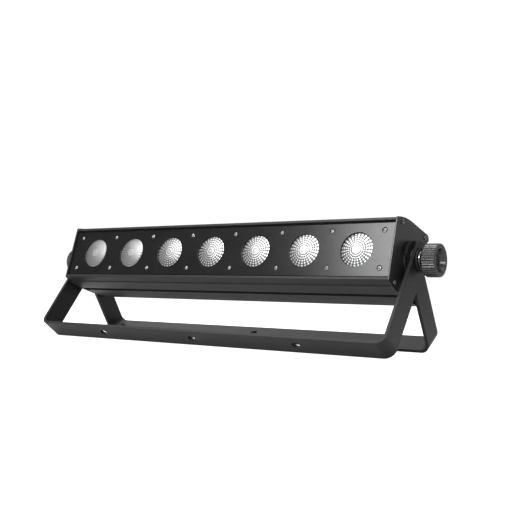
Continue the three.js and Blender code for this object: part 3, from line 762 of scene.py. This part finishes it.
BUTTONS = ("menu_button", "down_button", "up_button", "enter_button")
BUTTON_STEM = ((0, 0), (2, 0), (2, 1.4), (4.9, 1.4), (4.9, 2.3), (4.0, 2.3))  # (radius, height)
BUTTON_CAP = ((4.0, 0.9), (3.8, 0.35), (3.3, 0.08), (2.6, 0), (2.0, 0.25), (0, 0.4))  # (radius, below top)
DISPLAY_CORNER_RADIUS = 1.2

SOCKETS = {  # each with its contacts' distance from its middle
    "power_in_socket": 4.2,
    "power_out_socket": 4.2,
    "dmx_in_socket": 3.6,
    "dmx_out_socket": 3.6,
}
FLANGE_HALF_WIDTH = 13
FLANGE_HALF_HEIGHT = 15.5
FLANGE_CORNER_RADIUS = 2.5
FLANGE_THICKNESS = 2
FLANGE_HOLE_RADIUS = 8.2
FLANGE_SCREWS = ((-9.8, 12.2), (9.8, -12.2))
FLANGE_SINK_RADIUS = 2.4
FLANGE_SINK_FLOOR = 0.7
ABOVE_FLANGE = 3
BARREL_FLOOR = -12
BARREL_BACK = -19
BARREL = (  # (radius, height): up the bore, over the raised collar and down the outside
    (0, BARREL_FLOOR),
    (8.15, BARREL_FLOOR),
    (8.15, 1.0),
    (8.6, 2.5),
    (9.6, 2.5),
    (10.2, 1.95),
    (11.3, -0.3),
    (11.3, BARREL_BACK),
    (0, BARREL_BACK),
)
KEY = ((-1.1, 6.9, -11.9), (1.1, 8.3, 1.2))  # a rib's lowest and highest corner
CONTACT = ((0, -13), (1.1, -13), (1.1, -9.2), (0.8, -8.6), (0, -8.4))
CONTACT_COUNT = 3
SOCKET_SCREW_HEAD = ((0, 0.5), (2.1, 0.5), (2.1, 1.2), (1.6, 1.75), (1.0, 1.9), (0.5, 1.3), (0, 1.25))


def push_buttons():
    for node in BUTTONS:
        x, y, low, high = seat(node, BACK)
        height = high - low
        crown = [(radius, height - below) for radius, below in BUTTON_CAP]
        bm = bmesh.new()
        turned(bm, [*BUTTON_STEM, *crown], segments=48)
        cap = object_from(bm, f"{node}_cap")
        place = shifted(BACK, x, y, low)
        rubber = LOOKS["button_rubber"]
        fitted(cap, f"{node}_cap", place, node, rubber, [node], edge=0.15)


def display_window():
    low, high = extent("display_window", BACK)
    centre = (low + high) / 2
    half = (high - low) / 2
    bm = bmesh.new()
    prism(bm, rounded_rectangle(half.x, half.y, DISPLAY_CORNER_RADIUS), 0, high.z - low.z)
    made = object_from(bm, "display_pane")
    place = shifted(BACK, centre.x, centre.y, low.z)
    glass = LOOKS["display"]
    fitted(made, "display_pane", place, "housing", glass, ["display_window"], edge=0.25)


def socket_flange_mesh():
    """A socket's flange with a hole for the barrel and two screw sinks. Local Z is out, its back is at 0."""
    body = bmesh.new()
    outline = rounded_rectangle(FLANGE_HALF_WIDTH, FLANGE_HALF_HEIGHT, FLANGE_CORNER_RADIUS)
    prism(body, outline, 0, FLANGE_THICKNESS)
    flange = object_from(body, "socket_flange")
    cuts = bmesh.new()
    turned(cuts, cylinder(FLANGE_HOLE_RADIUS, BELOW_SHEET, ABOVE_FLANGE), segments=64)
    sink = cylinder(FLANGE_SINK_RADIUS, FLANGE_SINK_FLOOR, ABOVE_FLANGE)
    for x, y in FLANGE_SCREWS:
        turned(cuts, sink, segments=32, x=x, y=y)
    return carved(flange, object_from(cuts, "socket_cuts"), "socket_flange")


def socket_barrel(name):
    """The round body of a socket, with its keyed bore."""
    bm = bmesh.new()
    turned(bm, BARREL, segments=64)
    block(bm, *KEY)
    return object_from(bm, name)


def socket_contacts(name, spread):
    """The pins in a socket's bore, the first one at the top."""
    bm = bmesh.new()
    for i in range(CONTACT_COUNT):
        angle = math.pi / 2 + i * 2 * math.pi / CONTACT_COUNT
        turned(bm, CONTACT, segments=20, x=spread * math.cos(angle), y=spread * math.sin(angle))
    return object_from(bm, name)


def socket_screw_heads(name):
    bm = bmesh.new()
    for x, y in FLANGE_SCREWS:
        turned(bm, SOCKET_SCREW_HEAD, segments=28, x=x, y=y)
    return object_from(bm, name)


def sockets():
    flange = socket_flange_mesh()
    plastic = LOOKS["black_plastic"]
    for node, spread in SOCKETS.items():
        x, y, _, face = seat(node, BACK)
        place = shifted(BACK, x, y, face - FLANGE_THICKNESS)
        fitted(flange, f"{node}_flange", place, "housing", plastic, [node], edge=0.2)
        name = f"{node}_barrel"
        fitted(socket_barrel(name), name, place, "housing", plastic, edge=0.15)
        name = f"{node}_contacts"
        contacts = socket_contacts(name, spread)
        fitted(contacts, name, place, "housing", LOOKS["bright_steel"])
        name = f"{node}_screw_heads"
        fitted(socket_screw_heads(name), name, place, "housing", LOOKS["screw_steel"])


# ---- carried-over CAD nodes ----------------------------------------------------------------------

END_PLATES = [f"end_plate_{side}" for side in SIDES]
CARRIED_EDGES = {  # each node with how much its edges are rounded
    "housing_extrusion": 0.35,
    "front_bracket": 0.7,
    "rear_bracket": 0.7,
    "end_plate_left": 0.35,
    "end_plate_right": 0.35,
    "control_plate": 0.4,
    "led_board": 0.1,
    "driver_board": 0.2,
    "power_supply": 0.6,
}
WELD_DISTANCE = 0.01
FLAT_ANGLE = math.radians(0.5)  # faces that turn by less than this are made one


def smooth_shading():
    """A node group that shades its whole mesh smooth."""
    group = bpy.data.node_groups.new("smooth_shading", "GeometryNodeTree")
    for direction in ("INPUT", "OUTPUT"):
        group.interface.new_socket("Geometry", in_out=direction, socket_type="NodeSocketGeometry")
    entry = group.nodes.new("NodeGroupInput")
    shade = group.nodes.new("GeometryNodeSetShadeSmooth")
    leave = group.nodes.new("NodeGroupOutput")
    group.links.new(entry.outputs[0], shade.inputs["Geometry"])
    group.links.new(shade.outputs["Geometry"], leave.inputs[0])
    return group


def carried_over():
    """CAD nodes whose shape is right: their edges are rounded and they get their materials."""
    shading = smooth_shading()
    slots = {part["node"]: part["material_slot"] for part in frame["record"]["subparts"]}
    for name, width in CARRIED_EDGES.items():
        node = NODES[name]
        for entry in node.material_slots:
            entry.link = "OBJECT"
            entry.material = LOOKS["end_plate" if name in END_PLATES else slots[name]]
        weld = node.modifiers.new("weld", "WELD")
        weld.merge_threshold = WELD_DISTANCE * MM
        planar = node.modifiers.new("flats", "DECIMATE")
        planar.decimate_type = "DISSOLVE"
        planar.angle_limit = FLAT_ANGLE
        round_edges(node, width)
        shade = node.modifiers.new("shading", "NODES")
        shade.node_group = shading
        while node.modifiers[-1].type != "WEIGHTED_NORMAL":
            node.modifiers.move(len(node.modifiers) - 1, len(node.modifiers) - 2)


# ---- studio --------------------------------------------------------------------------------------

SURROUNDINGS = 0.38  # radiance that the object sees around it
# The dark end of the room, which the left of the panel mirrors.
SHADED_SIDE = Vector((-0.74, -0.58, 0.34)).normalized()
SHADED_RADIANCE = 0.12
SHADE_EDGE = math.radians(48)  # how far from the middle of the dark end the shade begins
SHADE_CORE = math.radians(2)  # and where it is at its darkest
BACKDROP_RADIANCE = 1.05
FLOOR_GLOW = 0.18  # keeps the floor under the brackets from going black
FLOOR_LIFT = 0.75  # what the white backdrop adds to the lit floor
FLOOR_HALF_WIDTH = 9000
LIGHTS = (  # (name, place, target, size, radiance)
    ("soft_box", (-0.37, -1.5, 1.28), (0.15, 0, 0.1), (0.76, 0.72), 15),
    ("overhead", (0, 0.1, 2.2), (0, 0.1, 0), (1.9, 2.0), 2.3),
    ("upper_left", (-1.3, -0.05, 1.75), (-0.1, 0, 0.05), (1.9, 1.1), 2.5),
    ("right_front", (0.89, -1.78, 0.81), (0.33, 0, 0.11), (0.26, 0.26), 75),
)


def seen_by_camera(tree):
    """1 where the backdrop itself is looked at, 0 where it only lights the object."""
    return tree.nodes.new("ShaderNodeLightPath").outputs["Is Camera Ray"]


def studio_floor():
    bm = bmesh.new()
    bmesh.ops.create_grid(bm, x_segments=1, y_segments=1, size=FLOOR_HALF_WIDTH)
    floor = object_from(bm, "studio_floor")
    paper = Look("pale_paper")
    fibres = paper.noise(size=2, detail=4)
    paper.color(paper.blended(fibres, "Fac", (0.54, 0.54, 0.54), (0.58, 0.58, 0.58)))
    lift = paper.node("ShaderNodeMath", operation="MULTIPLY_ADD")
    lift.inputs[1].default_value = FLOOR_LIFT
    lift.inputs[2].default_value = FLOOR_GLOW
    paper.tree.links.new(seen_by_camera(paper.tree), lift.inputs[0])
    paper.join(lift, "Value", paper.shader, "Emission Strength")
    paper.set(Roughness=1.0, Specular_IOR_Level=0.0, Emission_Color=(1, 1, 1, 1))
    floor.data.materials.append(paper.material)


def studio_world():
    """A white backdrop; what the object mirrors is dimmer, and dimmest on its shaded side."""
    world = bpy.data.worlds.new("studio_world")
    bpy.context.scene.world = world
    world.use_nodes = True
    tree = world.node_tree
    background = tree.nodes["Background"]
    background.inputs["Color"].default_value = (1, 1, 1, 1)
    direction = tree.nodes.new("ShaderNodeTexCoord")
    towards = tree.nodes.new("ShaderNodeVectorMath")
    towards.operation = "DOT_PRODUCT"
    towards.inputs[1].default_value = SHADED_SIDE
    tree.links.new(direction.outputs["Generated"], towards.inputs[0])
    shade = tree.nodes.new("ShaderNodeMapRange")
    shade.interpolation_type = "SMOOTHSTEP"
    shade.inputs["From Min"].default_value = math.cos(SHADE_EDGE)
    shade.inputs["From Max"].default_value = math.cos(SHADE_CORE)
    shade.inputs["To Min"].default_value = SURROUNDINGS
    shade.inputs["To Max"].default_value = SHADED_RADIANCE
    tree.links.new(towards.outputs["Value"], shade.inputs["Value"])
    choice = tree.nodes.new("ShaderNodeMix")
    tree.links.new(seen_by_camera(tree), choice.inputs[MIX_FACTOR])
    tree.links.new(shade.outputs["Result"], choice.inputs[MIX_A])
    choice.inputs[MIX_B].default_value = BACKDROP_RADIANCE
    tree.links.new(choice.outputs[0], background.inputs["Strength"])


def soft_light(name, place, target, size, radiance):
    """A rectangular light of a given brightness."""
    light = bpy.data.lights.new(name, "AREA")
    light.shape = "RECTANGLE"
    light.size, light.size_y = size
    light.energy = radiance * math.pi * size[0] * size[1]
    obj = bpy.data.objects.new(name, light)
    obj.location = place
    obj.rotation_euler = (Vector(target) - Vector(place)).to_track_quat("-Z", "Y").to_euler()
    bpy.context.scene.collection.objects.link(obj)


CAMERA_FROM_PIVOT = Vector((0.6717, -0.8700, -0.0329))
CAMERA_YAW = math.radians(35.50)
CAMERA_PITCH = math.radians(1.84)
CAMERA_ROLL = math.radians(1.02)
CAMERA_LENS = 56.40
SENSOR_WIDTH = 36


def camera():
    data = bpy.data.cameras.new("camera")
    data.lens = CAMERA_LENS
    data.sensor_width = SENSOR_WIDTH
    obj = bpy.data.objects.new("camera", data)
    forward = Vector((
        -math.sin(CAMERA_YAW) * math.cos(CAMERA_PITCH),
        math.cos(CAMERA_YAW) * math.cos(CAMERA_PITCH),
        math.sin(CAMERA_PITCH),
    ))
    right = Vector((math.cos(CAMERA_YAW), math.sin(CAMERA_YAW), 0))
    above = right.cross(forward)
    rolled_right = right * math.cos(CAMERA_ROLL) + above * math.sin(CAMERA_ROLL)
    rolled_above = above * math.cos(CAMERA_ROLL) - right * math.sin(CAMERA_ROLL)
    obj.matrix_world = axes(rolled_right, rolled_above, -forward, PIVOT + CAMERA_FROM_PIVOT)
    bpy.context.scene.collection.objects.link(obj)
    bpy.context.scene.camera = obj


# ---- making --------------------------------------------------------------------------------------

bpy.context.scene.view_settings.view_transform = "Standard"
camera()
studio_floor()
studio_world()
for light in LIGHTS:
    soft_light(*light)
lenses()
front_panel()
screws()
for side_name in SIDES:
    pivot_stack(side_name)
push_buttons()
display_window()
sockets()
carried_over()
